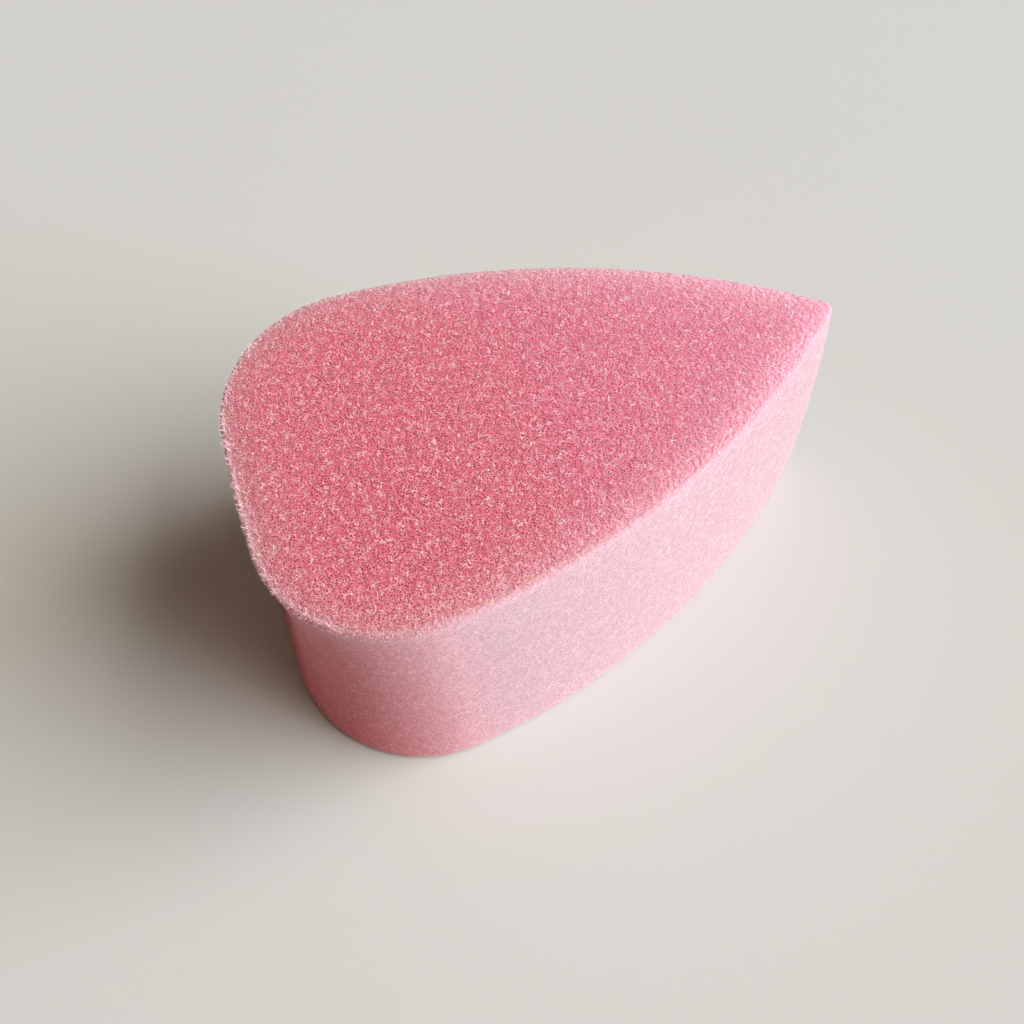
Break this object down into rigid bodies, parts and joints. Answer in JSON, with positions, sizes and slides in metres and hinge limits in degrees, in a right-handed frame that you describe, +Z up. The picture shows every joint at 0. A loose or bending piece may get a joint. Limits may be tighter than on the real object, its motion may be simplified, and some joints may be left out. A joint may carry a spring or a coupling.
{
  "type": "makeup sponge",
  "caption": "Petal-shaped makeup sponge of soft pink open-cell foam with flat faces, drawn-in walls and a thin tip; it squeezes and springs back.",
  "frame": {"origin": "middle of the base's bounding box, on the surface that the sponge lies on", "axes": "+X from the blunt heel to the tip, +Z up from the base to the top face, +Y across"},
  "size_m": [0.0768, 0.0516, 0.036],
  "materials": {
    "foam": "soft matt open-cell foam, cut faces"
  },
  "bodies": {
    "base": {"lower_half": "foam"},
    "press": {"upper_half": "foam"}
  },
  "joints": [
    {"name": "squeeze", "type": "slide", "parent": "base", "child": "press", "axis": [0, 0, -1], "range_m": [0, 0.018], "stiffness_N_per_m": 600, "deforming": ["lower_half", "upper_half"]}
  ]
}
